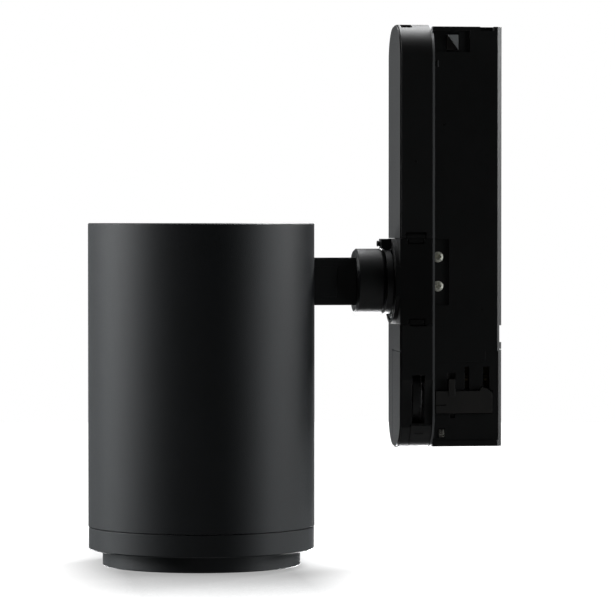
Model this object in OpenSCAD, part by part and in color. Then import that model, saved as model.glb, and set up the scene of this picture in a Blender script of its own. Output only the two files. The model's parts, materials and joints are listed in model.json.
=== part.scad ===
// Track spotlight: a cylindrical head on a tilting arm and a turning knuckle,
// carried by a long adapter that goes into a three-circuit track.
// Millimetres, +Z up. The origin is where the pan axis crosses the seat of the
// track: +X goes into the track, and the head hangs on the -X side.

/* [Head] */
// Outer diameter of the head
head_d = 90; // [88:1:92]
// Distance from the track seat to the axis of the head
head_reach = 91.4; // [90:0.1:93]
// Height of the head's rear face above the pan axis
head_top = 23.2; // [22:0.1:24]
// Length of the housing, from its rear face to the seam of the zoom ring
housing_len = 120.1; // [119.6:0.1:120.6]
// Wall thickness of the housing
housing_wall = 2.5; // [2.4:0.1:2.6]
// Length of the zoom ring
ring_len = 8.8; // [8.6:0.1:9]
// Outer diameter of the front barrel
barrel_d = 78.6; // [78.2:0.1:79]
// How far the front barrel stands out of the zoom ring
barrel_out = 6.4; // [5:0.1:8]

/* [Arm and knuckle] */
// Height of the arm
arm_h = 18.8; // [18:0.1:19.4]
// Thickness of the arm
arm_t = 16; // [15:0.1:16.4]
// Distance from the track seat to the tilt axis
tilt_reach = 58.4; // [58:0.1:59]
// Diameter of the knuckle
knuckle_d = 26; // [24:0.1:27]
// Distance from the track seat to the arm side of the knuckle
knuckle_reach = 30.3; // [29:0.1:31]

/* [Adapter] */
// Width of the adapter's cover
cover_w = 32; // [31.6:0.1:32.4]
// Depth of the cover, outside the track
cover_depth = 13.9; // [13.6:0.1:14.2]
// Height of the adapter's upper end above the pan axis
adapter_top = 102.3; // [100:0.1:106]
// Depth of the adapter's lower end below the pan axis
adapter_bottom = 66.5; // [66:0.1:67]
// Corner radius of the cover's ends
cover_corner = 13.5; // [12:0.1:14]
// Width of the insert that goes into the track
insert_w = 21.5; // [21.2:0.1:21.8]
// Depth of the insert
insert_depth = 28; // [27.6:0.1:28.4]

/* [Travel] */
// Pull of the release tab
release_travel = 2; // [1.5:0.1:2]
// How far each lock wing moves in for each millimetre of pull
wing_ratio = 0.8; // [0.7:0.05:0.8]
// Travel of the lens carrier over the zoom ring's quarter turn
zoom_travel = 18; // [12:1:18]

/* [Hidden] */
$fn = 96;

// Clearances
gap = 0.3;
run = 0.05;
cut = 1;

// Head
head_x = -head_reach;
head_r = head_d / 2;
bore_r = head_r - housing_wall;
seam_z = head_top - housing_len;
ring_top = seam_z - 0.3;
ring_bottom = ring_top - ring_len;
ring_r = head_r - 0.2;
barrel_bottom = ring_bottom - barrel_out;
barrel_r = barrel_d / 2;
tilt_x = -tilt_reach;
arm_r = arm_h / 2;
slot_half = arm_t / 2 + gap;
slot_inner_x = tilt_x - arm_r - gap;
cap_t = 2.8;
cap_z = head_top - 0.6 - cap_t;
cap_boss_r = 39.4;
cap_boss_angles = [60, 180, 300];
sink_z = -46;
sink_t = 6;
ledge_h = 6;
sink_boss_angles = [90, 210, 330];
sink_boss_r = 39.2;
bracket_z = -13;
bracket_t = 2;
ear_t = 2.4;
ear_y = arm_t / 2 + 0.6;
pin_r = 3;
bush_r = 4;
bracket_screw_x = [-67, -55.5];
lead_hole = [-14, 0];

// Zoom
sleeve_r = 41.9;
sleeve_t = 1.7;
sleeve_top = -68;
groove_z = -95.6;
groove_h = 1.6;
carrier_r = 39.6;
carrier_bore = 31;
carrier_z = -98;
carrier_h = 14;
follower_z = -91;
follower_r = 1.5;
follower_angles = [90, 210, 330];
rod_angles = [30, 150, 270];
rod_r = 1.5;
rod_circle = 36.3;
lens_r = 33;
lens_z = -92;
glass_z = barrel_bottom + 5.9;
glass_t = 3;
glass_r = 36;

// Adapter
cover_half = cover_w / 2;
insert_half = insert_w / 2;
wall = 1.5;
cover_wall = 1.6;
flange_t = 0.9;
swivel_half = 17;
seam = 0.15;
insert_top = adapter_top - 1;
insert_low = 0.75 - adapter_bottom;
seat_relief = 0.3;
chamfer_leg = 1.9;
lid_t = 1.6;
lid_half = insert_half - chamfer_leg - 0.4;
pan_lock_z = 15;
dial_z = -45.5;
dial_r = 15.4;
dial_x0 = -8.6;
dial_x1 = -5;
wing_x0 = 1;
wing_x1 = 23.9;
wing_z0 = -52.5;
wing_z1 = -43.7;
wing_pin_z = -49.1;
wing_pin_y = 7.9;
wing_out = insert_half + 1;
wing_travel = release_travel * wing_ratio;
tab_x0 = -9.5;
tab_x1 = -flange_t - gap;
tab_top = -57;
plate_x0 = -3.6;
plate_t = 1.8;
spring_z0 = -28.4;
spring_z1 = -20.2;
spring_x = -8;
latch_x = 8;
latch_z = 95;
screw_x = 2.2;
screw_z = [9.7, -1.9];
screw_head_r = 2.1;
recess_x = [0, 6.5];
recess_z = [-9.5, 17];
recess_depth = 0.9;
foot_y = [4.5, 7.9];
field_x0 = 0.3;
field_corner_x = 21.3;
field_z = [-63.5, -32];
field_depth = 0.5;
tongue_x = [6.3, 8.9];
tongue_top = -38.9;
line_window_x = [[13, 14.8], [20.4, 22.9]];
line_window_z = [-43.4, -34];
earth_x = [0.9, 5];
earth_z = [-62.4, -58.6];
latch_recess_x = [0.5, 14.9];
latch_recess_z = [91.2, 99.8];
dimple_r = 0.45;
slot_z = [-56.3, -37.1];
scoop_z = [-49, -38.9];
scoop_depth = 0.9;
panel_y = 5;
panel_top = -27.4;
stud_r = 5;
stud_bore = 3.2;

// ---- shared shapes ----

// A cylinder along X from x0 to x1
module along_x(x0, x1, r, r2 = -1) {
    translate([x0, 0, 0]) rotate([0, 90, 0])
        cylinder(h = x1 - x0, r1 = r, r2 = r2 < 0 ? r : r2);
}

// A cylinder along Y from y0 to y1
module along_y(y0, y1, r, r2 = -1) {
    translate([0, y0, 0]) rotate([-90, 0, 0])
        cylinder(h = y1 - y0, r1 = r, r2 = r2 < 0 ? r : r2);
}

// A box from its lowest to its highest corner
module box(low, high) {
    translate(low) cube(high - low);
}

// A ring about Z
module ring(z0, z1, inner, outer) {
    difference() {
        translate([0, 0, z0]) cylinder(h = z1 - z0, r = outer);
        translate([0, 0, z0 - cut]) cylinder(h = z1 - z0 + 2 * cut, r = inner);
    }
}

// Both the front and the rear copy of a shape
module front_and_rear() {
    children();
    mirror([0, 1, 0]) children();
}

// A wire that runs through the listed points, as one swept tube
function unit(v) = v / norm(v);
module wire(points, r) {
    sides = 8;
    last = len(points) - 1;
    dirs = [for (i = [0:last])
        unit(unit(points[min(i + 1, last)] - points[min(i, last - 1)])
            + unit(points[max(i, 1)] - points[max(i - 1, 0)]))];
    skin = [for (i = [0:last], k = [0:sides - 1])
        let (u = unit(cross([0, 1, 0], dirs[i])), v = cross(dirs[i], u), a = 360 * k / sides)
        points[i] + r * (cos(a) * u + sin(a) * v)];
    around = [for (i = [0:last - 1], k = [0:sides - 1])
        let (n = (k + 1) % sides)
        [i * sides + k, (i + 1) * sides + k, (i + 1) * sides + n, i * sides + n]];
    first = [[for (k = [0:sides - 1]) k]];
    end = [[for (k = [sides - 1:-1:0]) last * sides + k]];
    polyhedron(points = skin, faces = concat(around, first, end));
}

// The cover's round-ended outline as a slab from x0 to x1, pulled in by inset
module stadium_slab(x0, x1, inset) {
    corner_y = cover_half - cover_corner;
    low_z = cover_corner - adapter_bottom;
    high_z = adapter_top - cover_corner;
    r = cover_corner - inset;
    box([x0, -cover_half + inset, low_z], [x1, cover_half - inset, high_z]);
    box([x0, -corner_y, low_z - r], [x1, corner_y, high_z + r]);
    for (y = [-corner_y, corner_y], z = [low_z, high_z])
        translate([0, y, z]) along_x(x0, x1, r);
}

// A coil spring of round wire along Z, as one swept tube
function coil_point(t, r, pitch) = [r * cos(360 * t), r * sin(360 * t), pitch * t];
module coil_spring(r, wire_r, turns, length) {
    sides = 8;
    steps_per_turn = 20;
    rings = turns * steps_per_turn;
    pitch = (length - 2 * wire_r) / turns;
    points = [for (i = [0:rings], k = [0:sides - 1])
        let (t = i / steps_per_turn, p = coil_point(t, r, pitch), a = 360 * k / sides,
            side = wire_r * cos(a))
        [p[0] + side * cos(360 * t), p[1] + side * sin(360 * t), p[2] + wire_r * sin(a)]];
    around = [for (i = [0:rings - 1], k = [0:sides - 1])
        let (n = (k + 1) % sides)
        [i * sides + k, i * sides + n, (i + 1) * sides + n, (i + 1) * sides + k]];
    first = [[for (k = [sides - 1:-1:0]) k]];
    last = [[for (k = [0:sides - 1]) rings * sides + k]];
    translate([0, 0, wire_r]) polyhedron(points = points, faces = concat(around, first, last));
}

// A pan-head screw along +Z, its head's underside at z = 0 and the shank below
module pan_screw(shank_r, length, shank_head_r, head_h) {
    socket_r = shank_head_r * 0.55;
    slot_w = shank_head_r * 0.36;
    translate([0, 0, -length]) cylinder(h = length, r = shank_r);
    difference() {
        intersection() {
            cylinder(h = head_h, r = shank_head_r);
            translate([0, 0, head_h - shank_head_r * 1.6]) sphere(r = shank_head_r * 1.6);
        }
        for (a = [0, 90]) rotate([0, 0, a])
            translate([-socket_r, -slot_w / 2, head_h * 0.2]) cube([2 * socket_r, slot_w, head_h]);
    }
}

// ---- adapter ----

// Everything that is cut into one side of the insert
module insert_side_cuts() {
    skin = -insert_half;
    through = skin + wall + cut;
    // recess and holes of the two brass screws, and the seam under it
    box([recess_x[0], skin - cut, recess_z[0]], [recess_x[1], skin + recess_depth, recess_z[1]]);
    for (z = screw_z) translate([screw_x, 0, z]) along_y(skin, -foot_y[1], 1.35);
    box([recess_x[0], skin - cut, recess_z[0] - 0.3], [recess_x[1] - 0.3, skin + 0.2, recess_z[0]]);
    // stepped field around the lock wing, which runs out to the track side and is higher there
    box([field_x0, skin - cut, field_z[0]], [insert_depth + cut, skin + field_depth, field_z[1]]);
    box([field_corner_x, skin - cut, field_z[1] - cut],
        [insert_depth + cut, skin + field_depth, field_z[1] + 4.2]);
    // windows of the wing with its hump, of its tongue and of its lower notch
    box([wing_x0 - gap, skin - cut, wing_z0 - gap], [wing_x1 + gap, through, wing_z1 + gap]);
    box([tongue_x[0] - gap, skin - cut, wing_z1], [tongue_x[1] + gap, through, tongue_top + 2.4]);
    box([6.8, skin - cut, wing_z0 - 1.9], [9, through, wing_z0]);
    translate([0, through, gap]) wing_hump(through - skin + cut);
    // windows of the line contacts and of the earth contact
    for (x = line_window_x)
        box([x[0], skin - cut, line_window_z[0]], [x[1], through, line_window_z[1]]);
    box([earth_x[0], skin - cut, earth_z[0]], [earth_x[1], skin + 1.1, earth_z[1]]);
    box([earth_x[0] + 1.7, skin - cut, earth_z[0]], [earth_x[1], through, earth_z[1]]);
    // recess and window of the end latch
    box([latch_recess_x[0], skin - cut, latch_recess_z[0]], [latch_recess_x[1], skin + 0.9, latch_recess_z[1]]);
    box([latch_x - 2.6, skin - cut, latch_z - 3.5], [latch_x + 2.6, through, latch_z + 3.5]);
    // moulding dimples
    for (p = [[3.3, 25.7], [4.5, 62.3], [19.8, -11.2]])
        translate([p[0], 0, p[1]]) along_y(skin - cut, skin + 0.5, dimple_r);
}

// Low hump on the wing's upper edge, towards the track; it runs from y = 0 to the front
module wing_hump(depth) {
    low = wing_z1 - 0.4;
    rotate([90, 0, 0]) linear_extrude(height = depth)
        polygon([[18.6, low], [19.3, wing_z1 + 1.2], [20.9, wing_z1 + 1.4],
            [wing_x1, wing_z1 - 0.2], [wing_x1, low]]);
}

module adapter_base() color([0.04, 0.04, 0.042]) {
    inner = insert_half - wall;
    end_t = 1.8;
    ledge_w = 0.8;
    lid_gap = 0.15;
    chamfer = chamfer_leg * sqrt(2);
    seat_y = insert_half + 1.25;
    difference() {
        union() {
            stadium_slab(-flange_t, 0, 0);
            box([0, -insert_half, insert_low], [insert_depth, insert_half, insert_top]);
            // locating pips beside the flange
            front_and_rear() {
                translate([1.7, -insert_half, 85.2]) cylinder(h = 2.6, r = 0.6);
                translate([2, -insert_half + field_depth, wing_z0 - 2.4]) cylinder(h = 1.8, r = 0.6);
            }
        }
        // the inside, open towards the cover and, up to the lid's ledge, towards the track
        box([-flange_t - cut, -inner, insert_low + end_t],
            [insert_depth - lid_t - ledge_w, inner, insert_top - end_t]);
        box([insert_depth - lid_t - 0.05, -lid_half - lid_gap, insert_low + end_t - 2 * lid_gap],
            [insert_depth + cut, lid_half + lid_gap, insert_top - end_t + 2 * lid_gap]);
        box([insert_depth - lid_t - ledge_w - cut, -lid_half + ledge_w, insert_low + end_t + ledge_w],
            [insert_depth, lid_half - ledge_w, insert_top - end_t - ledge_w]);
        front_and_rear() {
            insert_side_cuts();
            // relief beside the insert, which leaves the seat as two clear strips
            box([-seat_relief, -seat_y, -adapter_bottom - cut], [cut, -insert_half, adapter_top + cut]);
        }
        // chamfers along the two track-side edges
        for (side = [-1, 1]) translate([insert_depth, side * insert_half, 0]) rotate([0, 0, 45])
            translate([-chamfer / 2, -chamfer / 2, insert_low - cut])
                cube([chamfer, chamfer, insert_top - insert_low + 2 * cut]);
        track_edge_cuts(cover_half);
        // notch in the upper end
        box([19, -cover_half, insert_top - 1.6], [24.6, -inner + 2, insert_top + cut]);
    }
    // pads behind the screw recesses
    front_and_rear() difference() {
        box([-flange_t, -inner - 0.1, recess_z[0] - 0.8], [recess_x[1] + 1, -foot_y[1] - 0.1, recess_z[1] + 0.8]);
        for (z = screw_z) translate([screw_x, 0, z]) along_y(-inner - cut, -foot_y[1] + cut, 1.35);
    }
}

// Shallow step and gap in the insert's track-side face
module track_edge_cuts(half) {
    depth = 0.9;
    box([insert_depth - depth, -half - cut, -24.3], [insert_depth + cut, half + cut, -17.6]);
    box([insert_depth - depth, -half - cut, -27.3], [insert_depth + cut, half + cut, -27]);
}

module insert_lid() color([0.05, 0.05, 0.052]) {
    end_gap = 1.65;
    difference() {
        box([insert_depth - lid_t, -lid_half, insert_low + end_gap], [insert_depth, lid_half, insert_top - end_gap]);
        track_edge_cuts(lid_half);
        translate([0, 0, dial_z]) along_x(insert_depth - 2 * lid_t, insert_depth + cut, 2 + run);
        for (z = [20:6:74]) box([insert_depth - 0.6, -6, z], [insert_depth + cut, 6, z + 1.2]);
    }
}

// The cover's shell between two heights: a stadium tub, open towards the track
module cover_shell(z0, z1) {
    intersection() {
        difference() {
            union() {
                stadium_slab(-cover_depth + 0.6, -flange_t, 0);
                stadium_slab(-cover_depth, -cover_depth + 0.7, 0.6);
            }
            stadium_slab(-cover_depth + cover_wall, -flange_t + cut, cover_wall);
        }
        box([-cover_depth - cut, -cover_half - cut, z0], [cut, cover_half + cut, z1]);
    }
}

// Window in the cover around a snap clip
module clip_window(x0, x1, z0, z1) {
    front_and_rear() box([x0, -cover_half - cut, z0], [x1, -cover_half + cover_wall + cut, z1]);
}

module upper_cover() color([0.04, 0.04, 0.042]) {
    difference() {
        cover_shell(swivel_half + seam, adapter_top + cut);
        clip_window(-11.7, -3.3, swivel_half - cut, 19.6);
        // notch in the upper end
        box([-12.4, -cover_half, adapter_top - 1.4], [-8, -3, adapter_top + cut]);
        front_and_rear() translate([-7.5, 0, 47.6]) along_y(-cover_half - cut, -cover_half + 0.5, dimple_r);
    }
    // closing wall beside the swivel base
    box([-cover_depth + cover_wall - 0.1, -cover_half + cover_wall - 0.1, 21],
        [-flange_t, cover_half - cover_wall + 0.1, 22.2]);
    // skirt behind the windows
    front_and_rear() box([-12.2, -14, swivel_half + 0.4], [-2.4, -13.1, 21.1]);
}

// Scoop in one side of the cover: a curved run-in that ends as a flat
module thumb_scoop() {
    reach = scoop_z[1] - scoop_z[0];
    r = (reach * reach + scoop_depth * scoop_depth) / (2 * scoop_depth);
    intersection() {
        translate([0, scoop_depth - cover_half - r, scoop_z[0]]) along_x(-cover_depth - cut, cut, r, $fn = 360);
        box([-cover_depth - cut, -cover_half - cut, scoop_z[0] - 1], [cut, 0, scoop_z[1] + 1]);
    }
    box([-cover_depth - cut, -cover_half - cut, -adapter_bottom], [cut, scoop_depth - cover_half, scoop_z[0]]);
}

// Fine groove around a panel on the cover's outer face, open at the lower end
module panel_outline() {
    groove_w = 0.5;
    depth = 0.4;
    x0 = -cover_depth - cut;
    x1 = -cover_depth + depth;
    box([x0, -cover_half - cut, panel_top - groove_w], [x1, panel_y, panel_top]);
    box([x0, panel_y - groove_w, -adapter_bottom - cut], [x1, panel_y, panel_top]);
}

module lower_cover() color([0.04, 0.04, 0.042]) {
    difference() {
        cover_shell(-adapter_bottom - cut, -swivel_half - seam);
        clip_window(-10, -3.1, -17.7, -swivel_half + cut);
        // thumb slots of the phase dial, and the shallow scoops around them
        front_and_rear() {
            box([dial_x0 - 0.4, -cover_half - cut, slot_z[0]], [dial_x1 + 1, -cover_half + 4, slot_z[1]]);
            thumb_scoop();
        }
        panel_outline();
        // the lower end is open where the release tab slides
        box([tab_x0 - 0.15, -cover_half - cut, -adapter_bottom - cut], [cut, cover_half + cut, tab_top + 0.15]);
    }
    // pointer beside the dial
    front_and_rear() translate([-2.8, scoop_depth - cover_half, -48.8]) rotate([0, 50, 0])
        box([-1.7, -0.2, -0.15], [1.7, 0.3, 0.15]);
    // skirt behind the windows
    front_and_rear() box([-10.4, -14.45, -swivel_half - 2.6], [-2.7, -13.2, -swivel_half - 0.25]);
    // stub axle of the phase dial
    translate([0, 0, dial_z]) along_x(-cover_depth + cover_wall - 0.1, -6.4, 2);
    // ledge that the release spring stands on
    box([-cover_depth + cover_wall - 0.1, -5, spring_z0 - 0.75], [plate_x0 - 0.5, 5, spring_z0]);
}

// U-shaped groove that frees a snap clip in the base's side, open at the base's upper end
module clip_groove(x0, x1, z0) {
    groove_w = 0.5;
    depth = 1;
    difference() {
        box([x0, -cover_half - cut, z0], [x1, depth - cover_half, swivel_half + cut]);
        box([x0 + groove_w, -cover_half - 2 * cut, z0 + groove_w],
            [x1 - groove_w, depth - cover_half + cut, swivel_half + 2 * cut]);
    }
}

module swivel_base() color([0.03, 0.03, 0.032]) {
    half = swivel_half;
    shell = 2;
    plate_x = [-3.3, -flange_t - 0.1];
    difference() {
        union() {
            box([-cover_depth, -cover_half, -half], [-flange_t - 0.1, cover_half, half]);
            // round boss with stepped rims
            intersection() {
                along_x(-15.6, -cover_depth + 0.1, half);
                box([-20, -cover_half, -20], [0, cover_half, 20]);
            }
            along_x(-16, -15, 11);
        }
        // hollow behind the boss, with the mounting plate left at the back
        box([-cover_depth + 2.5, -cover_half + shell, -half + shell], [plate_x[0], cover_half - shell, half - shell]);
        box([plate_x[0] - cut, -4.4, -12], [cut, 4.4, 12]);
        along_x(-20, 0, stud_r + run * 2);
        // rims of the boss
        difference() {
            along_x(-16.5, -15.1, 15.6);
            along_x(-17, -15, 14.6);
        }
        difference() {
            along_x(-16.5, -15.1, 13.4);
            along_x(-17, -15, 11);
        }
        translate([0, 0, pan_lock_z]) along_x(-18, -12.4, 0.8 + run);
        front_and_rear() {
            clip_groove(-10.9, -4.3, 14.9);
            mirror([0, 0, 1]) clip_groove(-10.6, -3.9, 14.6);
        }
    }
    // feet inside the insert, which the brass screws hold
    front_and_rear() difference() {
        box([plate_x[0], -foot_y[1], -9], [7, -foot_y[0], 15]);
        for (z = screw_z) translate([screw_x, 0, z]) along_y(-foot_y[1] - cut, -foot_y[0] + cut, 1.25 + run);
    }
    // catches of the snap clips, in the windows of both covers
    front_and_rear() {
        inner_y = 1.5 - cover_half;
        translate([-11.4, 0, half]) rotate([90, 0, 90]) linear_extrude(height = 7.8)
            polygon([[inner_y, -0.1], [inner_y - 1, -0.1], [inner_y - 1.4, 1.1], [inner_y - 0.7, 2.4], [inner_y, 2.4]]);
        box([-9.8, inner_y - 0.6, -half - 0.5], [-4.6, inner_y, 0.1 - half]);
    }
}

module swivel_screws() color([0.80, 0.64, 0.30]) {
    head_y = insert_half - recess_depth;
    front_and_rear() for (z = screw_z)
        translate([screw_x, -head_y, z]) rotate([90, 0, 0]) pan_screw(1.25, head_y - foot_y[0], screw_head_r, 1.1);
}

module knuckle_collar() color([0.035, 0.035, 0.037]) {
    r = knuckle_d / 2;
    difference() {
        along_x(-18.4, -16, r);
        along_x(-20, -14, stud_r + run * 2);
        // annular track of the stop pin, with one lug left in it
        difference() {
            along_x(-19, -16.6, 9.8);
            along_x(-20, -16, 7.2);
            box([-20, -0.8, 6], [-16, 0.8, 11]);
        }
    }
}

module pan_lock_lug() color([0.03, 0.03, 0.032]) {
    difference() {
        box([-19.6, -3.2, 12.4], [-15.6, 3.2, 16.9]);
        along_x(-21, -14, knuckle_d / 2 + gap);
        translate([0, 0, pan_lock_z]) along_x(-21, -14, 0.8 + run);
    }
}

module pan_lock_screw() color([0.10, 0.10, 0.10]) {
    translate([0, 0, pan_lock_z]) difference() {
        union() {
            along_x(-20.9, -19.6, 1.15);
            along_x(-19.7, -12.6, 0.8);
        }
        along_x(-22, -20.2, 0.6, $fn = 6);
    }
}

// One contact leaf behind a window: a broad blade with a narrow rounded nose, drawn in
module contact_leaf(x) {
    half_w = 0.7;
    back_w = 1.6;
    nose_y = insert_half - 1.6;
    back_y = 7.4;
    mid = (line_window_z[0] + line_window_z[1]) / 2;
    box([x - back_w, -back_y - 0.5, line_window_z[0] + 0.6], [x + back_w, -back_y, line_window_z[1] + 0.6]);
    translate([x - half_w, -back_y, mid]) rotate([0, 90, 0]) intersection() {
        cylinder(h = 2 * half_w, r = nose_y - back_y);
        translate([-4, -4, 0]) cube([8, 4, 2 * half_w]);
    }
}

module track_contacts() color([0.80, 0.62, 0.30]) {
    front_and_rear() for (x = line_window_x) contact_leaf((x[0] + x[1]) / 2);
}

module earth_contacts() color([0.82, 0.80, 0.74]) {
    front_and_rear() {
        box([2.7, -9.9, -62.1], [4.8, -8.4, -58.9]);
        for (z = [-61.9:0.9:-59.2]) box([2.8, -10.3, z], [4.7, -9.8, z + 0.5]);
    }
}

// ---- driver inside the insert ----

module driver_board() color([0.05, 0.25, 0.12]) {
    box([8.5, 5.6, -26], [25.5, 7.2, 88]);
}

module driver_parts() color([0.15, 0.15, 0.16]) {
    // transformer
    box([10, -6.5, 34], [24, 5.5, 36]);
    box([12, -5.5, 36], [22, 4.5, 48]);
    box([10, -6.5, 48], [24, 5.5, 50]);
    box([12, 4.5, 35], [22, 5.5, 49]);
    // smoothing and filter capacitors
    for (z = [60, 70]) translate([16, 0, z]) along_y(-6.5, 5.5, 4.5);
    box([10, -4, 78], [23, 5.5, 84]);
    box([11, -2, 18], [22, 5.5, 24]);
    // choke
    translate([16.5, 0, 10]) difference() {
        along_y(0.5, 5.5, 5.2);
        along_y(0, 6, 2);
    }
    for (z = [-6:5:0]) box([12, 3.4, z], [20, 5.5, z + 3]);
}

module terminal_block() color([0.70, 0.70, 0.68]) {
    difference() {
        box([9.5, -3.5, -24], [24.5, 5.5, -14]);
        for (x = [12, 17, 22]) {
            translate([x, 0.5, -25]) cylinder(h = 6, r = 1.3);
            translate([x, 0, -16.5]) along_y(-5, -1, 1.3);
        }
    }
}

module mains_leads() color([0.45, 0.20, 0.10]) {
    wire([[13.9, -6.2, -33.4], [13.9, -4.6, -30], [12, 0.5, -27.5], [12, 0.5, -19.5]], 0.8);
    wire([[21.65, -6.2, -33.4], [21.65, -4.6, -30], [22, 0.5, -27.5], [22, 0.5, -19.5]], 0.8);
    wire([[17, 3.5, -33.4], [17, 0.5, -28], [17, 0.5, -19.5]], 0.8);
    wire([[8.6, 2.6, -6], [4, 1.1, -3], [0, 1.1, 0], [-3, 1.1, 0]], 0.8);
    wire([[8.6, -0.6, -6], [4, -1.1, -3], [0, -1.1, 0], [-3, -1.1, 0]], 0.8);
}

module latch_spring() color([0.75, 0.75, 0.74]) {
    length = 6;
    translate([latch_x, length / 2, latch_z]) rotate([90, 0, 0]) coil_spring(1.7, 0.3, 5, length);
}

module release_spring() color([0.75, 0.75, 0.74]) {
    translate([spring_x, 0, spring_z0]) coil_spring(2, 0.35, 5, spring_z1 - spring_z0);
}

// ---- phase selector ----

module phase_dial() color([0.05, 0.05, 0.052]) {
    teeth = 90;
    difference() {
        translate([0, 0, dial_z]) along_x(dial_x0, dial_x1, dial_r);
        translate([0, 0, dial_z]) along_x(dial_x0 - cut, -6.2, 2 + run);
        for (i = [0:teeth - 1]) translate([0, 0, dial_z]) rotate([i * 360 / teeth, 0, 0])
            box([dial_x1 - 0.9, -0.25, dial_r - 0.3], [dial_x1 + cut, 0.25, dial_r + cut]);
        // position marks
        for (a = [60, 120, 180]) translate([0, 0, dial_z]) rotate([a, 0, 0])
            box([dial_x0 - cut, -0.3, dial_r - 0.3], [dial_x0 + 1, 0.3, dial_r + cut]);
    }
}

module contact_drum() color([0.60, 0.58, 0.52]) {
    translate([0, 0, dial_z]) {
        along_x(dial_x1, 4.8, 3);
        difference() {
            along_x(4.8, 24, 5.4);
            for (x = [8.5, 16.5]) difference() {
                along_x(x, x + 1.4, 6);
                along_x(x - cut, x + 1.4 + cut, 4.6);
            }
        }
        along_x(24, insert_depth - 0.2, 2);
    }
}

// ---- release tab, cam plate and lock wings ----

module release_tab() color([0.05, 0.05, 0.052]) {
    intersection() {
        difference() {
            stadium_slab(tab_x0, tab_x1, 0);
            stadium_slab(tab_x0 - cut, tab_x1 + cut, cover_wall);
        }
        box([tab_x0 - cut, -cover_half, -adapter_bottom - cut], [cut, cover_half, tab_top]);
    }
    // grip ridge on both sides
    front_and_rear() translate([0, cover_corner - cover_half, cover_corner - adapter_bottom]) rotate([34, 0, 0])
        box([-7.9, -cover_corner - 0.25, -0.35], [-4.4, -cover_corner + 0.5, 0.35]);
    // web that carries the cam plate
    box([plate_x0, -8, 1.5 - adapter_bottom], [plate_x0 + plate_t, 8, -62]);
}

module cam_plate() color([0.66, 0.67, 0.68]) {
    x1 = plate_x0 + plate_t;
    hole_half = 3.4;
    difference() {
        union() {
            box([plate_x0, -10.4, -61.9], [x1, 10.4, -40]);
            box([plate_x0, -4, -40.5], [x1, 4, spring_z1 + 1.2]);
            box([-11.4, -4, spring_z1], [x1, 4, spring_z1 + 1.2]);
        }
        box([plate_x0 - cut, -hole_half, dial_z - hole_half],
            [x1 + cut, hole_half, dial_z + hole_half + release_travel]);
        front_and_rear() {
            slot_r = 1 + gap;
            slope = atan2(release_travel, wing_travel);
            reach = norm([wing_travel, release_travel]);
            translate([0, -wing_pin_y, wing_pin_z]) rotate([slope, 0, 0]) {
                along_x(plate_x0 - cut, x1 + cut, slot_r);
                translate([0, reach, 0]) along_x(plate_x0 - cut, x1 + cut, slot_r);
                box([plate_x0 - cut, 0, -slot_r], [x1 + cut, reach, slot_r]);
            }
        }
    }
}

module lock_wing() {
    inner = insert_half - wall - 0.15;
    lip_y = [-inner - 0.05, -inner + 0.75];
    corner = 1.2;
    difference() {
        union() {
            box([wing_x0, -wing_out, wing_z0], [wing_x1, -inner, wing_z1]);
            translate([0, -insert_half + 0.75, 0]) wing_hump(wing_out - insert_half + 0.75);
        }
        // sloped lead-in towards the track, and the groove beside the tongue
        translate([wing_x1, -wing_out, 0]) rotate([0, 0, 30])
            box([-6, -4, wing_z0 - cut], [6, 0, wing_z1 + 2]);
        box([wing_x0 - cut, -wing_out - cut, -49.4], [wing_x0 + 4.2, -wing_out + 0.5, -49]);
        // rounded upper corner towards the track
        translate([wing_x1 - corner, 0, wing_z1 - corner]) difference() {
            box([0, -wing_out - cut, 0], [corner + cut, -inner + cut, corner + cut]);
            along_y(-wing_out - 2 * cut, -inner + 2 * cut, corner);
        }
    }
    // lip that closes the windows from inside
    box([wing_x0 - 0.8, lip_y[0], wing_z0 - 2.4], [wing_x1 + 0.8, lip_y[1], wing_z1 + 0.5]);
    box([tongue_x[0] - 0.9, lip_y[0], wing_z1], [tongue_x[1] + 0.9, lip_y[1], tongue_top + 3.2]);
    // tongue in its slot, which runs down over the wing's face
    box([tongue_x[0], -wing_out - 0.15, -45.6], [tongue_x[1], -inner, tongue_top]);
    // rib and pin that follow the cam plate
    box([wing_x0, -inner - 0.1, wing_pin_z - 1], [wing_x0 + 3, -wing_pin_y + 1, wing_pin_z + 1]);
    translate([0, -wing_pin_y, wing_pin_z]) along_x(plate_x0 - 0.4, wing_x0 + 0.2, 1);
}

module lock_wing_front() color([0.09, 0.085, 0.08]) {
    lock_wing();
}

module lock_wing_rear() color([0.09, 0.085, 0.08]) {
    mirror([0, 1, 0]) lock_wing();
}

// ---- end latch ----

module latch_tooth() {
    half_w = 2.3;
    half_h = 3.2;
    stem_y = 3.1;
    box([latch_x - half_w, -insert_half + 0.9, latch_z - half_h], [latch_x + half_w, -stem_y, latch_z + half_h]);
    translate([0, -insert_half + 1, 0]) rotate([90, 0, 0]) linear_extrude(height = 1.9)
        polygon([[latch_x - 2.1, latch_z + 3], [latch_x + 2.1, latch_z + 3], [latch_x + 2.1, latch_z - 3]]);
}

module latch_tooth_front() color([0.12, 0.12, 0.12]) {
    latch_tooth();
}

module latch_tooth_rear() color([0.12, 0.12, 0.12]) {
    mirror([0, 1, 0]) latch_tooth();
}

// ---- knuckle, stud and arm ----

module knuckle() color([0.035, 0.036, 0.038]) {
    r = knuckle_d / 2;
    x0 = -knuckle_reach;
    x1 = -19;
    soft = 0.9;
    difference() {
        union() {
            along_x(x0 + soft, x1 - soft, r);
            along_x(x0, x0 + soft, r - soft, r);
            along_x(x1 - soft, x1, r, r - soft);
        }
        along_x(x0 - cut, x1 + cut, stud_r + run);
        translate([0, 0, -8.5]) along_x(-22.6, x1 + cut, 1.1 + run);
    }
}

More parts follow.
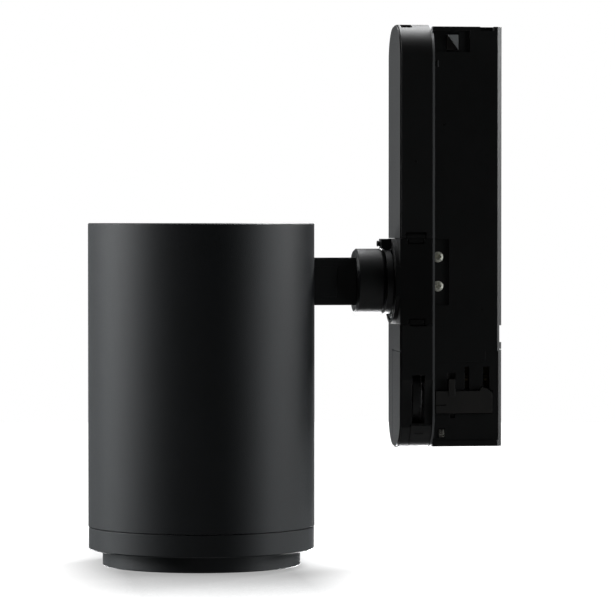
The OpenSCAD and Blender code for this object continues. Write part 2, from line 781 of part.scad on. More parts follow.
module swivel_stud() color([0.72, 0.72, 0.72]) {
    difference() {
        along_x(-36.5, -3.9, stud_r);
        along_x(-37.5, -2, stud_bore);
    }
}

module swivel_nut() color([0.70, 0.70, 0.70]) {
    difference() {
        along_x(-8.6, -4.6, 8.1, $fn = 6);
        along_x(-9, -4, stud_r + run);
    }
}

module swivel_washers() color([0.70, 0.70, 0.70]) {
    // friction washer between knuckle and collar
    difference() {
        along_x(-19, -18.45, 6.9);
        along_x(-20, -17, stud_r + run);
    }
    // disc spring and flat washer under the nut
    difference() {
        along_x(-11.35, -9.7, 9.4, 7.4);
        along_x(-11.45, -10.6, 8.2, 6.4);
        along_x(-12, -8, stud_r + run);
    }
    difference() {
        along_x(-9.65, -8.65, 8.6);
        along_x(-12, -8, stud_r + run);
    }
}

module stop_pin() color([0.72, 0.72, 0.72]) {
    translate([0, 0, -8.5]) along_x(-22.5, -16.9, 1.1);
}

module arm() color([0.035, 0.036, 0.038]) {
    half_t = arm_t / 2;
    soft = 0.5;
    x1 = -knuckle_reach - 0.02;
    difference() {
        union() {
            translate([tilt_x, 0, 0]) along_y(-half_t, half_t, arm_r);
            box([tilt_x, -half_t, -arm_r + soft], [x1, half_t, arm_r - soft]);
            box([tilt_x, -half_t + soft, -arm_r], [x1, half_t - soft, arm_r]);
        }
        // pivot bore
        translate([tilt_x, 0, 0]) along_y(-half_t - cut, half_t + cut, bush_r + run);
        // stud socket, wire channel and its outlet inside the head
        along_x(-36.6, x1 + cut, stud_r + run);
        box([-51.5, -half_t + 1.3, -3.4], [-36, 3.4, 3.4]);
        translate([-49.4, 0, 0]) cylinder(h = 20, r = 2);
        // seat of the channel's cover
        box([-52.6, -half_t - cut, -6.1], [-37.9, -half_t + 1.35, 6.1]);
    }
}

module arm_cover() color([0.035, 0.036, 0.038]) {
    half_t = arm_t / 2;
    box([-52.5, -half_t, -6], [-38, -half_t + 1.3, 6]);
}

module arm_leads() color([0.75, 0.72, 0.68]) {
    for (y = [-1.1, 1.1])
        wire([[-3.4, y, 0], [-48, y, 0], [-49.4, y, 2], [-49.4, y, 11.4]], 0.8);
}

module tilt_bushes() color([0.72, 0.55, 0.30]) {
    half_t = arm_t / 2;
    translate([tilt_x, 0, 0]) front_and_rear() difference() {
        along_y(-half_t, -half_t + 5, bush_r);
        along_y(-half_t - cut, -half_t + 6, pin_r + run);
    }
}

// ---- head ----

// Copies at the given angles around the head's axis
module around_head(angles, r) {
    for (a = angles) translate([head_x, 0, 0]) rotate([0, 0, a]) translate([r, 0, 0]) children();
}

module housing() color([0.035, 0.038, 0.042]) {
    edge = 0.4;
    difference() {
        union() {
            translate([head_x, 0, 0]) {
                difference() {
                    union() {
                        translate([0, 0, seam_z]) cylinder(h = housing_len - edge, r = head_r, $fn = 180);
                        translate([0, 0, head_top - edge]) cylinder(h = edge, r1 = head_r, r2 = head_r - edge, $fn = 180);
                    }
                    translate([0, 0, seam_z - cut]) cylinder(h = housing_len + 2 * cut, r = bore_r);
                }
                // ledge that the heat sink rests on
                ring(sink_z - ledge_h, sink_z, bore_r - 2, bore_r + 0.5);
            }
            around_head(cap_boss_angles, cap_boss_r) translate([0, 0, 6]) cylinder(h = cap_z - 6, r = 3.6);
            around_head(sink_boss_angles, sink_boss_r) translate([0, 0, sink_z - ledge_h])
                cylinder(h = ledge_h, r = 3.2);
        }
        around_head(cap_boss_angles, cap_boss_r - 0.6) translate([0, 0, cap_z - 9]) cylinder(h = 10, r = 1.5 + run);
        around_head(sink_boss_angles, sink_boss_r - 0.6) translate([0, 0, sink_z - 9]) cylinder(h = 10, r = 1.5 + run);
        // slot that the arm swings through
        box([head_x + 20, -slot_half, -arm_r - gap], [head_x + head_r + cut, slot_half, head_top + cut]);
        // groove of the glide ring
        translate([head_x, 0, 0]) ring(groove_z, groove_z + groove_h, bore_r - cut, bore_r + 0.9);
    }
}

module rear_cap() color([0.035, 0.038, 0.042]) {
    vent_w = 2;
    difference() {
        translate([head_x, 0, cap_z]) cylinder(h = cap_t, r = bore_r - 0.1);
        box([slot_inner_x, -slot_half, cap_z - cut], [head_x + head_r, slot_half, head_top + cut]);
        around_head(cap_boss_angles, cap_boss_r - 0.6) translate([0, 0, cap_z - cut]) cylinder(h = 10, r = 1.6);
        around_head(cap_boss_angles, cap_boss_r - 0.6) translate([0, 0, cap_z + 1.2]) cylinder(h = 10, r = 3);
        // ventilation slots
        for (i = [-4:4]) translate([head_x - 10, i * 6, 0])
            box([-12, -vent_w / 2, cap_z - cut], [12, vent_w / 2, head_top + cut]);
    }
}

module m3_screws() color([0.12, 0.12, 0.12]) {
    around_head(cap_boss_angles, cap_boss_r - 0.6) translate([0, 0, cap_z + 1.2]) pan_screw(1.5, 9, 2.7, 1.5);
    around_head(sink_boss_angles, sink_boss_r - 0.6) translate([0, 0, sink_z + 2]) pan_screw(1.5, 9, 2.7, 1.7);
    for (side = [-1, 1]) translate([head_x, side * 19, sink_z - 4.6]) rotate([180, 0, 0])
        pan_screw(1.5, 9, 2.7, 1.7);
}

module tilt_bracket() color([0.62, 0.63, 0.64]) {
    ear_r = 7.6;
    top = bracket_z + bracket_t;
    difference() {
        union() {
            box([-71, -ear_y - ear_t, bracket_z], [-51, ear_y + ear_t, top]);
            front_and_rear() {
                translate([tilt_x, 0, 0]) along_y(-ear_y - ear_t, -ear_y, ear_r);
                box([tilt_x - ear_r, -ear_y - ear_t, bracket_z], [tilt_x + ear_r - 0.3, -ear_y, 0]);
            }
        }
        translate([tilt_x, 0, 0]) along_y(-20, 20, pin_r + 0.03);
        for (x = bracket_screw_x) translate([x, 0, 0]) {
            translate([0, 0, bracket_z - cut]) cylinder(h = 5, r = 2.1);
            translate([0, 0, top - 1.7]) cylinder(h = 1.75, r1 = 2.1, r2 = 3.85);
        }
    }
}

module bracket_screws() color([0.20, 0.20, 0.20]) {
    top = bracket_z + bracket_t;
    for (x = bracket_screw_x) translate([x, 0, 0]) difference() {
        union() {
            translate([0, 0, top - 10]) cylinder(h = 10 - 1.7, r = 2);
            translate([0, 0, top - 1.75]) cylinder(h = 1.65, r1 = 2, r2 = 3.65);
        }
        translate([0, 0, top - 1.4]) cylinder(h = 3, r = 1.3, $fn = 6);
    }
}

module tilt_pin() color([0.70, 0.70, 0.70]) {
    outer = ear_y + ear_t;
    translate([tilt_x, 0, 0]) difference() {
        union() {
            along_y(-outer, outer + 5.5, pin_r);
            along_y(-outer - 2.6, -outer, 5);
        }
        along_y(-outer - 4, -outer - 1, 2.3, $fn = 6);
    }
}

module tilt_nut() color([0.70, 0.70, 0.70]) {
    outer = ear_y + ear_t;
    translate([tilt_x, 0, 0]) difference() {
        along_y(outer + 0.05, outer + 5, 5.75, $fn = 6);
        along_y(outer - 1, outer + 7, pin_r + run);
    }
}

module tilt_washers() color([0.85, 0.84, 0.80]) {
    inner = arm_t / 2 + 0.05;
    translate([tilt_x, 0, 0]) front_and_rear() difference() {
        along_y(-ear_y, -inner, 7);
        along_y(-ear_y - cut, -inner + cut, pin_r + run);
    }
}

module heat_sink() color([0.55, 0.56, 0.58]) {
    fin_t = 1.6;
    fin_pitch = 6;
    fin_top = -14;
    r = bore_r - 0.2;
    difference() {
        union() {
            translate([head_x, 0, sink_z]) cylinder(h = sink_t, r = r);
            intersection() {
                translate([head_x, 0, sink_z]) cylinder(h = fin_top - sink_z, r = r - 0.4);
                union() for (i = [-6:6]) box([head_x - r, i * fin_pitch - fin_t / 2, sink_z],
                    [head_x + r, i * fin_pitch + fin_t / 2, fin_top]);
            }
            box([-72, -10, sink_z], [-51, 10, bracket_z - 0.02]);
        }
        for (x = bracket_screw_x) translate([x, 0, bracket_z - 12]) cylinder(h = 14, r = 2 + run);
        around_head(sink_boss_angles, sink_boss_r - 0.6) {
            translate([0, 0, sink_z - cut]) cylinder(h = 40, r = 1.6);
            translate([0, 0, sink_z + 2]) cylinder(h = 40, r = 3.4);
        }
        translate([head_x + lead_hole[0], lead_hole[1], sink_z - cut]) cylinder(h = 40, r = 3);
        for (side = [-1, 1]) translate([head_x, side * 19, sink_z - cut]) cylinder(h = 6, r = 1.5 + run);
        around_head(rod_angles, rod_circle) translate([0, 0, sink_z - cut]) cylinder(h = 5, r = rod_r + run);
    }
}

module led_board() color([0.90, 0.90, 0.88]) {
    translate([head_x, 0, 0]) box([-10, -10, sink_z - 1.2], [10, 10, sink_z - 0.02]);
}

module led_emitter() color([0.95, 0.80, 0.25]) {
    translate([head_x, 0, sink_z - 1.8]) cylinder(h = 0.58, r = 7.2);
}

module led_holder() color([0.88, 0.88, 0.86]) {
    thick = 4.6;
    translate([head_x, 0, 0]) difference() {
        translate([0, 0, sink_z - thick]) cylinder(h = thick - 0.05, r = 24);
        translate([0, 0, sink_z - thick - cut]) cylinder(h = thick + 2 * cut, r = 8.4);
        translate([0, 0, sink_z - thick - cut]) cylinder(h = 3.2, r1 = 13.4, r2 = 8.4);
        box([-10.2, -10.2, sink_z - 1.4], [10.2, 10.2, sink_z + cut]);
        box([-16, -2.6, sink_z - 2.2], [0, 2.6, sink_z + cut]);
        for (side = [-1, 1]) translate([0, side * 19, sink_z - thick - cut]) cylinder(h = 8, r = 1.6);
    }
}

module head_leads() color([0.75, 0.72, 0.68]) {
    for (y = [-1.1, 1.1])
        wire([[head_x + lead_hole[0] + 3, y, sink_z - 1.1], [head_x + lead_hole[0], y, sink_z - 1],
            [head_x + lead_hole[0], y, -9], [-90, y, 3], [-74, y, 8]], 0.8);
}

module reflector() color([0.93, 0.93, 0.94]) {
    z0 = sink_z - 4.7;
    depth = 14;
    throat = 9;
    mouth = 23;
    shell = 0.9;
    translate([head_x, 0, 0]) rotate_extrude() polygon(concat(
        [for (t = [0:0.1:1]) [throat + (mouth - throat) * pow(t, 0.62), z0 - depth * t]],
        [for (t = [1:-0.1:0]) [throat + shell + (mouth - throat) * pow(t, 0.62), z0 - depth * t]]));
}

module guide_rods() color([0.75, 0.75, 0.76]) {
    around_head(rod_angles, rod_circle) translate([0, 0, carrier_z]) cylinder(h = sink_z + 3 - carrier_z, r = rod_r);
}

module glide_ring() color([0.90, 0.89, 0.85]) {
    translate([head_x, 0, 0]) ring(groove_z + 0.1, groove_z + groove_h - 0.1, sleeve_r - 0.5, bore_r + 0.85);
}

// ---- zoom ----

module zoom_ring() color([0.035, 0.038, 0.042]) {
    edge = 0.4;
    lip_t = 1.8;
    translate([head_x, 0, 0]) difference() {
        union() {
            translate([0, 0, ring_bottom + edge]) cylinder(h = ring_len - edge, r = ring_r, $fn = 180);
            translate([0, 0, ring_bottom]) cylinder(h = edge, r1 = ring_r - edge, r2 = ring_r, $fn = 180);
        }
        translate([0, 0, ring_bottom - cut]) cylinder(h = ring_len + 2 * cut, r = barrel_r + run);
        translate([0, 0, ring_bottom + lip_t]) cylinder(h = ring_len, r = sleeve_r + run);
    }
}

module zoom_sleeve() color([0.60, 0.61, 0.63]) {
    slot_reach = follower_r + gap;
    helix = atan2(zoom_travel, PI / 2 * sleeve_r);
    half_angle = slot_reach / sin(helix) / sleeve_r * 180 / PI;
    slot_h = zoom_travel + 2 * slot_reach;
    slot_twist = 90 * slot_h / zoom_travel;
    start = 90 * slot_reach / zoom_travel;
    inner = sleeve_r - sleeve_t;
    translate([head_x, 0, 0]) difference() {
        ring(ring_bottom + 1.9, sleeve_top, inner, sleeve_r);
        ring(groove_z - 0.15, groove_z + groove_h + 0.15, sleeve_r - 0.6, sleeve_r + cut);
        for (a = follower_angles) translate([0, 0, follower_z - slot_reach])
            rotate([0, 0, a + start])
                linear_extrude(height = slot_h, twist = slot_twist, slices = 30, segments = 10, $fn = 0)
                    polygon(concat(
                        [for (k = [-1:0.5:1]) (sleeve_r + 2) * [cos(k * half_angle), sin(k * half_angle)]],
                        [for (k = [1:-0.5:-1]) (inner - 1) * [cos(k * half_angle), sin(k * half_angle)]]));
    }
}

module front_barrel() color([0.03, 0.032, 0.036]) {
    inner = 36.5;
    edge = 0.3;
    top = carrier_z - 0.2;
    translate([head_x, 0, 0]) difference() {
        union() {
            translate([0, 0, barrel_bottom + edge]) cylinder(h = top - barrel_bottom - edge, r = barrel_r, $fn = 180);
            translate([0, 0, barrel_bottom]) cylinder(h = edge, r1 = barrel_r - edge, r2 = barrel_r, $fn = 180);
        }
        translate([0, 0, barrel_bottom - cut]) cylinder(h = glass_z + glass_t + 0.8 - barrel_bottom + cut, r = inner);
        translate([0, 0, barrel_bottom - cut]) cylinder(h = 40, r = inner - 2);
        translate([0, 0, glass_z + glass_t + 2.6]) cylinder(h = 20, r = inner + 0.6);
        ring(glass_z - 1.3, glass_z - 0.1, inner - cut, inner + 0.7);
    }
}

module front_glass() color([0.80, 0.85, 0.86, 0.4]) {
    translate([head_x, 0, glass_z]) cylinder(h = glass_t, r = glass_r);
}

module glass_gasket() color([0.06, 0.06, 0.06]) {
    translate([head_x, 0, 0]) ring(glass_z + glass_t + 0.02, glass_z + glass_t + 0.78, 34.7, 36.3);
}

module glass_clip() color([0.15, 0.15, 0.15]) {
    open_deg = 9;
    translate([head_x, 0, 0]) difference() {
        ring(glass_z - 1.2, glass_z - 0.2, 35, 37.1);
        rotate([0, 0, -open_deg]) translate([0, -2, glass_z - 3]) cube([50, 4, 4]);
    }
}

module lens_carrier() color([0.10, 0.10, 0.10]) {
    translate([head_x, 0, 0]) difference() {
        translate([0, 0, carrier_z]) cylinder(h = carrier_h, r = carrier_r);
        translate([0, 0, carrier_z - cut]) cylinder(h = carrier_h + 2 * cut, r = carrier_bore);
        translate([0, 0, lens_z - 0.1]) cylinder(h = carrier_h, r = lens_r + run);
        for (a = rod_angles) rotate([0, 0, a]) translate([rod_circle, 0, carrier_z - cut])
            cylinder(h = carrier_h + 2 * cut, r = rod_r + run);
        for (a = follower_angles) rotate([0, 0, a]) translate([0, 0, follower_z])
            along_x(carrier_r - 2.6, carrier_r + cut, follower_r + 0.02);
    }
}

module lens() color([0.85, 0.90, 0.92, 0.4]) {
    rim_t = 2;
    crown = 5;
    steps = 12;
    translate([head_x, 0, lens_z]) rotate_extrude() polygon(concat(
        [[0, 0], [lens_r, 0], [lens_r, rim_t], [carrier_bore, rim_t]],
        [for (i = [1:steps]) let (r = carrier_bore * (1 - i / steps))
            [r, rim_t + crown * (1 - pow(r / carrier_bore, 2))]]));
}

module cam_pins() color([0.75, 0.75, 0.76]) {
    around_head(follower_angles, 0) translate([0, 0, follower_z]) along_x(carrier_r - 2.5, sleeve_r - 0.1, follower_r);
}

adapter_base();
insert_lid();
upper_cover();
lower_cover();
swivel_base();
swivel_screws();
knuckle_collar();
pan_lock_lug();
track_contacts();
earth_contacts();
driver_board();
driver_parts();
terminal_block();
mains_leads();
latch_spring();
release_spring();
phase_dial();
contact_drum();
release_tab();
cam_plate();
lock_wing_front();
lock_wing_rear();
latch_tooth_front();
latch_tooth_rear();
pan_lock_screw();
knuckle();
swivel_stud();
swivel_nut();
swivel_washers();
stop_pin();
arm();
arm_cover();
arm_leads();
tilt_bushes();
housing();
rear_cap();
m3_screws();
tilt_bracket();
bracket_screws();
tilt_pin();
tilt_nut();
tilt_washers();
heat_sink();
led_board();
led_emitter();
led_holder();
head_leads();
reflector();
guide_rods();
glide_ring();
zoom_ring();
zoom_sleeve();
front_barrel();
front_glass();
glass_gasket();
glass_clip();
lens_carrier();
lens();
cam_pins();
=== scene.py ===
import json
import math

import bmesh
import bpy
from mathutils import Matrix, Vector


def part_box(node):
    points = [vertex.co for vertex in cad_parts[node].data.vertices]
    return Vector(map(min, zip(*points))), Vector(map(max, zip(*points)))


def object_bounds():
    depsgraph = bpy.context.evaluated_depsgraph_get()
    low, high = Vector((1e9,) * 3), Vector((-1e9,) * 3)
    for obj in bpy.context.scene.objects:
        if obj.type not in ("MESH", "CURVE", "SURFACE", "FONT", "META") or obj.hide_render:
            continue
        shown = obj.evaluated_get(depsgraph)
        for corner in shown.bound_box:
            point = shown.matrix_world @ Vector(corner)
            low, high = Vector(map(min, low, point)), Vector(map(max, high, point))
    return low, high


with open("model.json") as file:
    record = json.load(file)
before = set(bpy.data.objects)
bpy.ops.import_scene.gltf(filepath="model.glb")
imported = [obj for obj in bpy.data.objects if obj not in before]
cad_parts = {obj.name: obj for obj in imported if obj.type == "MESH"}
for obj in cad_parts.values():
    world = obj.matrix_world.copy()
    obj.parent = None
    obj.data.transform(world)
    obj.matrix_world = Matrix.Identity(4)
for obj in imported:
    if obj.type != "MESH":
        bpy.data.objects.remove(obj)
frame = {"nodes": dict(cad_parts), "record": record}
cad_low, cad_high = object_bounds()
NODES = frame["nodes"]
# sockets of the Mix node in its colour mode
MIX_A, MIX_B, MIX_RESULT = 6, 7, 2


# ---- camera ----

def add_camera():
    """A long lens at the level of the head's rear face, turned a little towards the head's side."""
    yaw = math.radians(-7.15)
    pitch = math.radians(-1.37)
    distance = 1.403
    side = 0.0422
    housing_low, housing_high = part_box("housing")
    head_axis = (housing_low + housing_high) / 2
    forward = Vector((-math.sin(yaw), math.cos(yaw), 0))
    right = Vector((math.cos(yaw), math.sin(yaw), 0))
    place = head_axis - forward * distance + right * side
    place.z = housing_high.z
    camera = bpy.data.cameras.new("camera")
    camera.sensor_width = 36
    camera.lens = 206.6
    camera.clip_start = 0.05
    camera.clip_end = 60
    camera_object = bpy.data.objects.new("camera", camera)
    aim = (forward * math.cos(pitch) + Vector((0, 0, math.sin(pitch)))).normalized()
    camera_object.location = place
    camera_object.rotation_euler = aim.to_track_quat("-Z", "Y").to_euler()
    bpy.context.scene.collection.objects.link(camera_object)
    bpy.context.scene.camera = camera_object
    return place, forward, right


camera_place, view_forward, view_right = add_camera()


# ---- material nodes ----

class Shader:
    """A small helper that builds a Principled material from procedural layers."""

    def __init__(self, name, edge_radius=0.0003):
        self.edge_radius = edge_radius
        self.material = bpy.data.materials.new(name)
        self.material.use_nodes = True
        self.tree = self.material.node_tree
        self.shader = self.tree.nodes["Principled BSDF"]
        self.coordinates = self.tree.nodes.new("ShaderNodeTexCoord").outputs["Object"]

    def node(self, kind, **settings):
        made = self.tree.nodes.new(kind)
        for key, value in settings.items():
            setattr(made, key, value)
        return made

    def link(self, source, target):
        self.tree.links.new(source, target)

    def noise(self, scale, detail=3.0, stretch=(1, 1, 1)):
        mapping = self.node("ShaderNodeMapping")
        mapping.inputs["Scale"].default_value = stretch
        self.link(self.coordinates, mapping.inputs["Vector"])
        noise = self.node("ShaderNodeTexNoise")
        noise.inputs["Scale"].default_value = scale
        noise.inputs["Detail"].default_value = detail
        self.link(mapping.outputs["Vector"], noise.inputs["Vector"])
        return noise.outputs["Fac"]

    def ramp(self, source, low, high, start=0.35, end=0.65):
        """A colour or grey ramp between low and high."""
        ramp = self.node("ShaderNodeValToRGB")
        ramp.color_ramp.elements[0].position = start
        ramp.color_ramp.elements[1].position = end
        for element, value in zip(ramp.color_ramp.elements, (low, high)):
            element.color = (*value, 1) if isinstance(value, tuple) else (value,) * 3 + (1,)
        self.link(source, ramp.inputs["Fac"])
        return ramp.outputs["Color"]

    def curve(self, source, stops):
        """A grey ramp through several stops, each a position and a value."""
        ramp = self.node("ShaderNodeValToRGB")
        elements = ramp.color_ramp.elements
        while len(elements) < len(stops):
            elements.new(0.5)
        for element, (position, value) in zip(elements, stops):
            element.position = position
            element.color = (value,) * 3 + (1,)
        self.link(source, ramp.inputs["Fac"])
        return ramp.outputs["Color"]

    def bump(self, source, strength, distance):
        edge = self.node("ShaderNodeBevel", samples=4)
        edge.inputs["Radius"].default_value = self.edge_radius
        bump = self.node("ShaderNodeBump")
        self.link(edge.outputs["Normal"], bump.inputs["Normal"])
        bump.inputs["Strength"].default_value = strength
        bump.inputs["Distance"].default_value = distance
        self.link(source, bump.inputs["Height"])
        self.link(bump.outputs["Normal"], self.shader.inputs["Normal"])

    def fixed(self, **values):
        for key, value in values.items():
            self.shader.inputs[key.replace("_", " ")].default_value = value


def grained(name, dark, light, rough, grain, depth, metallic=0.0, stretch=(1, 1, 1), cloud=60, edge=0.0003):
    """A surface with a fine grain: its colour and roughness drift a little, and the grain is in the bump."""
    made = Shader(name, edge)
    made.fixed(Metallic=metallic)
    drift = made.noise(cloud, 4)
    made.link(made.ramp(drift, dark, light), made.shader.inputs["Base Color"])
    fine = made.noise(grain, 5, stretch)
    made.link(made.ramp(fine, rough[0], rough[1]), made.shader.inputs["Roughness"])
    made.bump(fine, 0.5, depth)
    return made.material


MATERIALS = {
    "housing_black": grained("powder_coat", (0.010, 0.0115, 0.013), (0.012, 0.0135, 0.0155),
                             (0.46, 0.56), 2600, 0.00006),
    "arm_black": grained("satin_coat", (0.008, 0.0085, 0.009), (0.011, 0.0115, 0.012),
                         (0.46, 0.56), 2000, 0.00004),
    "adapter_plastic": grained("adapter_plastic", (0.008, 0.008, 0.008), (0.011, 0.011, 0.011),
                               (0.42, 0.54), 1800, 0.00004, edge=0.00018),
    "swivel_plastic": grained("swivel_plastic", (0.006, 0.006, 0.006), (0.009, 0.009, 0.009),
                              (0.46, 0.56), 1500, 0.00002),
    "selector_plastic": grained("selector_plastic", (0.010, 0.010, 0.010), (0.014, 0.014, 0.014),
                                (0.40, 0.50), 1800, 0.00003),
    "lock_plastic": grained("lock_plastic", (0.034, 0.032, 0.030), (0.048, 0.044, 0.041),
                            (0.42, 0.55), 1500, 0.00004),
    "brass_screw": grained("brass_screw", (0.86, 0.84, 0.70), (0.94, 0.92, 0.80),
                           (0.34, 0.46), 1200, 0.00001, 0.35),
    # painted shade: the contact brass is near-black, so the contact windows look shaded
    "contact_brass": grained("contact_brass", (0.032, 0.026, 0.016), (0.050, 0.040, 0.024),
                             (0.30, 0.42), 1200, 0.00001, 1.0),
    "contact_nickel": grained("contact_nickel", (0.66, 0.64, 0.58), (0.76, 0.74, 0.68),
                              (0.24, 0.36), 1200, 0.00001, 1.0),
    "steel": grained("zinc_steel", (0.50, 0.51, 0.53), (0.62, 0.63, 0.65),
                     (0.28, 0.42), 900, 0.00001, 1.0),
    "black_steel": grained("black_steel", (0.02, 0.02, 0.02), (0.035, 0.035, 0.035),
                           (0.34, 0.46), 900, 0.00001, 0.6),
    "aluminium": grained("aluminium", (0.62, 0.63, 0.65), (0.72, 0.73, 0.75),
                         (0.30, 0.44), 700, 0.00001, 1.0, (1, 1, 12)),
    "reflector_metal": grained("reflector_metal", (0.88, 0.88, 0.89), (0.94, 0.94, 0.95),
                               (0.08, 0.16), 400, 0.00001, 1.0),
    "circuit_board": grained("circuit_board", (0.015, 0.14, 0.05), (0.02, 0.20, 0.08),
                             (0.30, 0.40), 600, 0.00001),
    "component": grained("component", (0.03, 0.03, 0.033), (0.05, 0.05, 0.055),
                         (0.40, 0.52), 900, 0.00002),
    "white_plastic": grained("white_plastic", (0.74, 0.74, 0.71), (0.82, 0.82, 0.80),
                             (0.40, 0.50), 900, 0.00002),
    "phosphor": grained("phosphor", (0.82, 0.60, 0.10), (0.90, 0.70, 0.16),
                        (0.45, 0.60), 1400, 0.00002),
    "wire_sleeve": grained("wire_sleeve", (0.38, 0.05, 0.03), (0.46, 0.07, 0.04),
                           (0.38, 0.50), 900, 0.00002),
    "rubber": grained("rubber", (0.015, 0.015, 0.015), (0.022, 0.022, 0.022),
                      (0.60, 0.75), 1400, 0.00003),
    "clear_glass": grained("clear_glass", (0.90, 0.92, 0.92), (0.95, 0.97, 0.97),
                           (0.02, 0.05), 300, 0.000001),
    "bronze": grained("bronze", (0.42, 0.25, 0.10), (0.52, 0.32, 0.14),
                      (0.36, 0.50), 900, 0.00001, 1.0),
}


def math_node(tree, operation, *inputs):
    """A Math node. Each input is a socket or a number."""
    made = tree.nodes.new("ShaderNodeMath")
    made.operation = operation
    for socket, value in zip(made.inputs, inputs):
        if isinstance(value, bpy.types.NodeSocket):
            tree.links.new(value, socket)
        else:
            socket.default_value = value
    return made.outputs["Value"]


def mix_towards(tree, factor, plain, tone):
    """The plain colour, mixed towards a fixed tone by the factor."""
    mix = tree.nodes.new("ShaderNodeMix")
    mix.data_type = "RGBA"
    tree.links.new(factor, mix.inputs["Factor"])
    tree.links.new(plain, mix.inputs[MIX_A])
    mix.inputs[MIX_B].default_value = (*tone, 1)
    return mix.outputs[MIX_RESULT]


def paint_highlight(material, tone, **bands):
    """Paint a highlight on a material: its colour goes towards the tone where the object coordinates lie in
    all the given bands; Y counts on both sides.
    """
    tree = material.node_tree
    base_colour = tree.nodes["Principled BSDF"].inputs["Base Color"]
    plain = base_colour.links[0].from_socket
    split = tree.nodes.new("ShaderNodeSeparateXYZ")
    tree.links.new(tree.nodes.new("ShaderNodeTexCoord").outputs["Object"], split.inputs["Vector"])
    mask = 1.0
    for axis, (low, high) in bands.items():
        place = split.outputs[axis]
        if axis == "Y":
            place = math_node(tree, "ABSOLUTE", place)
        inside = math_node(tree, "COMPARE", place, (low + high) / 2, (high - low) / 2)
        mask = math_node(tree, "MULTIPLY", inside, mask)
    tree.links.new(mix_towards(tree, mask, plain, tone), base_colour)


# how far the masks reach past a surface, and how deep they go in
SKIN = 0.00003
TOOTH_FACE = 0.0008
KNURL_BAND = 0.0005
# painted highlight along the rim of the adapter's flange, where its edge catches the side light
paint_highlight(MATERIALS["adapter_plastic"], (0.175, 0.175, 0.178),
        X=(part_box("adapter_base")[0].x + SKIN, -SKIN))
# painted highlight on the faces of the end latch's teeth, which catch the top light
tooth_low, tooth_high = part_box("latch_tooth_front")
paint_highlight(MATERIALS["lock_plastic"], (0.42, 0.43, 0.43),
        Y=(-tooth_low.y - TOOTH_FACE, -tooth_low.y + SKIN), Z=(tooth_low.z, tooth_high.z))
# painted highlight: a light band along the knurl on the selector dial, for the glints on its teeth
dial_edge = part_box("phase_dial")[1].x
MATERIALS["selector_dial"] = grained("selector_dial", (0.005, 0.005, 0.005), (0.008, 0.008, 0.008),
                                     (0.48, 0.58), 1800, 0.00003)
paint_highlight(MATERIALS["selector_dial"], (0.13, 0.13, 0.13), X=(dial_edge - KNURL_BAND, dial_edge + SKIN))
swivel_shader = MATERIALS["swivel_plastic"].node_tree.nodes["Principled BSDF"]
swivel_shader.inputs["Specular IOR Level"].default_value = 0.25
glass_shader = MATERIALS["clear_glass"].node_tree.nodes["Principled BSDF"]
glass_shader.inputs["Transmission Weight"].default_value = 0.92
glass_shader.inputs["IOR"].default_value = 1.5

SLOTS = {part["node"]: part["material_slot"] for part in frame["record"]["subparts"]}
for name, cad_object in NODES.items():
    cad_object.data.materials.clear()
    cad_object.data.materials.append(MATERIALS["selector_dial" if name == "phase_dial" else SLOTS[name]])


# ---- stage and light ----

FLOOR_RADIUS = 1.0
FLOOR_GAP = 0.0001
SHADOW_REACH = 0.3
# the floor's brightness by how open it is above: positions and values
SHADOW_CURVE = [(0.60, 0.36), (0.80, 0.48), (0.88, 0.70), (0.945, 1.0)]
# where the shadow starts to fade and ends, as shares of the head's width from its axis
SHADOW_FADE = (0.36, 0.66)


def add_floor():
    """A pale disc under the object, which glows except in the contact shadow and throws no light back."""
    mesh = bpy.data.meshes.new("floor")
    build = bmesh.new()
    bmesh.ops.create_circle(build, cap_ends=True, segments=128, radius=FLOOR_RADIUS,
                            matrix=Matrix.Translation((centre.x, centre.y, cad_low.z - FLOOR_GAP)))
    build.to_mesh(mesh)
    build.free()
    floor = bpy.data.objects.new("floor", mesh)
    made = Shader("floor")
    made.link(made.ramp(made.noise(2), 0.04, 0.05), made.shader.inputs["Base Color"])
    openness = made.node("ShaderNodeAmbientOcclusion", samples=16)
    openness.inputs["Distance"].default_value = SHADOW_REACH
    shade = made.curve(openness.outputs["AO"], SHADOW_CURVE)
    # the contact shadow stays under the head
    split = made.node("ShaderNodeSeparateXYZ")
    made.link(made.coordinates, split.inputs["Vector"])
    low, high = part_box("housing")
    offset = math_node(made.tree, "SUBTRACT", split.outputs["X"], (low.x + high.x) / 2)
    fade = made.node("ShaderNodeMapRange")
    made.link(math_node(made.tree, "ABSOLUTE", offset), fade.inputs["Value"])
    for socket, share in zip(("From Min", "From Max"), SHADOW_FADE):
        fade.inputs[socket].default_value = (high.x - low.x) * share
    made.link(mix_towards(made.tree, fade.outputs["Result"], shade, (1, 1, 1)),
              made.shader.inputs["Emission Color"])
    made.fixed(Roughness=0.9, Emission_Strength=1.0)
    floor.data.materials.append(made.material)
    bpy.context.scene.collection.objects.link(floor)
    floor.visible_diffuse = False
    floor.visible_glossy = False
    floor.visible_shadow = False


def add_light(name, azimuth, rise, distance, size, power, colour):
    """A softbox aimed at the object. Its azimuth in degrees runs from the camera's side, to the right."""
    turn = math.radians(azimuth)
    lift = math.radians(rise)
    level = view_right * math.sin(turn) - view_forward * math.cos(turn)
    place = centre + (level * math.cos(lift) + Vector((0, 0, math.sin(lift)))) * distance
    light = bpy.data.lights.new(name, "AREA")
    light.shape = "RECTANGLE"
    light.size, light.size_y = size
    light.energy = power
    light.color = colour
    light_object = bpy.data.objects.new(name, light)
    light_object.location = place
    light_object.rotation_euler = (centre - place).to_track_quat("-Z", "Y").to_euler()
    light_object.visible_camera = False
    bpy.context.scene.collection.objects.link(light_object)


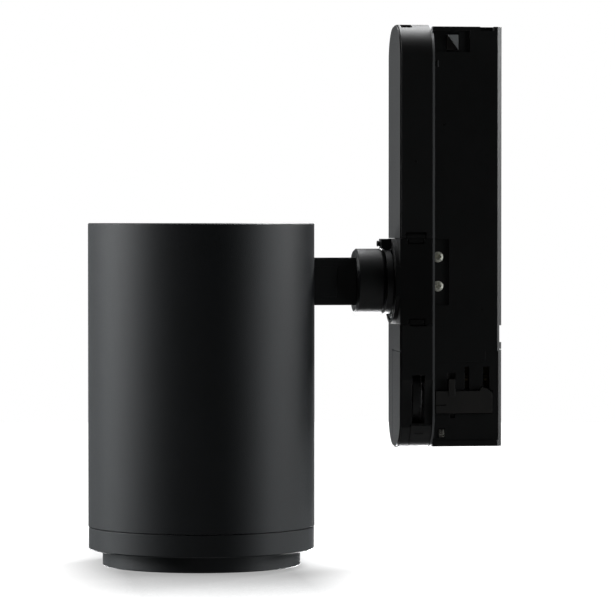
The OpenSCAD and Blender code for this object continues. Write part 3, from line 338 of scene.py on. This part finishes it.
def add_world():
    """White where the camera sees it, and no light on the object."""
    world = bpy.data.worlds.new("studio")
    bpy.context.scene.world = world
    world.use_nodes = True
    nodes, links = world.node_tree.nodes, world.node_tree.links
    background = nodes["Background"]
    background.inputs["Color"].default_value = (1, 1, 1, 1)
    seen = nodes.new("ShaderNodeLightPath")
    strength = nodes.new("ShaderNodeMapRange")
    strength.inputs["To Min"].default_value = 0.0
    strength.inputs["To Max"].default_value = 1.0
    links.new(seen.outputs["Is Camera Ray"], strength.inputs["Value"])
    links.new(strength.outputs["Result"], background.inputs["Strength"])


centre = (cad_low + cad_high) / 2
add_floor()
add_world()
STRIP = (1.3, (0.34, 1.2))
SHORT_STRIP = (1.3, (0.34, 0.6))
OVERHEAD = (1.6, (0.9, 0.5))
SQUARE = (1.6, (0.7, 0.7))
LOW = (1.3, (0.8, 0.5))
# name, azimuth and rise in degrees, distance and size in metres, power in watts
SOFTBOXES = [
    ("left_front", -75, 0, *STRIP, 0.86),
    ("left_side", -90, 0, *STRIP, 0.97),
    ("left_back", -105, 0, *STRIP, 3.17),
    ("left_rim", -135, 0, *STRIP, 0.78),
    ("back_left", -150, 0, *STRIP, 0.45),
    ("left_raised", -80, 22, *SHORT_STRIP, 7.87),
    ("left_raised_back", -100, 22, *SHORT_STRIP, 8.1),
    ("right_front", 75, 0, *STRIP, 3.65),
    ("right_back", 120, 0, *STRIP, 0.8),
    ("right_rim", 135, 0, *STRIP, 0.52),
    ("right_raised_back", 105, 22, *SHORT_STRIP, 14.4),
    ("top_back", 180, 65, *OVERHEAD, 7.5),
    ("top_far_back", 180, 45, *OVERHEAD, 4.3),
    ("top", 180, 85, *OVERHEAD, 2.7),
    ("top_front", 0, 60, *OVERHEAD, 0.48),
    ("top_right_back", 135, 45, *SQUARE, 111),
    ("low_back", 180, -25, *LOW, 44),
    ("deep_back", 180, -50, *LOW, 0.78),
    ("low_front", 0, -25, *LOW, 0.29),
    ("deep_front", 0, -50, *LOW, 0.52),
    ("below", 0, -80, *LOW, 0.64),
]
COOL, NEUTRAL = (0.93, 0.98, 1.0), (0.98, 0.99, 1.0)
for softbox in SOFTBOXES:
    # the level softboxes are a little cooler than the others
    add_light(*softbox, COOL if softbox[2] == 0 else NEUTRAL)
bpy.context.scene.view_settings.view_transform = "Standard"
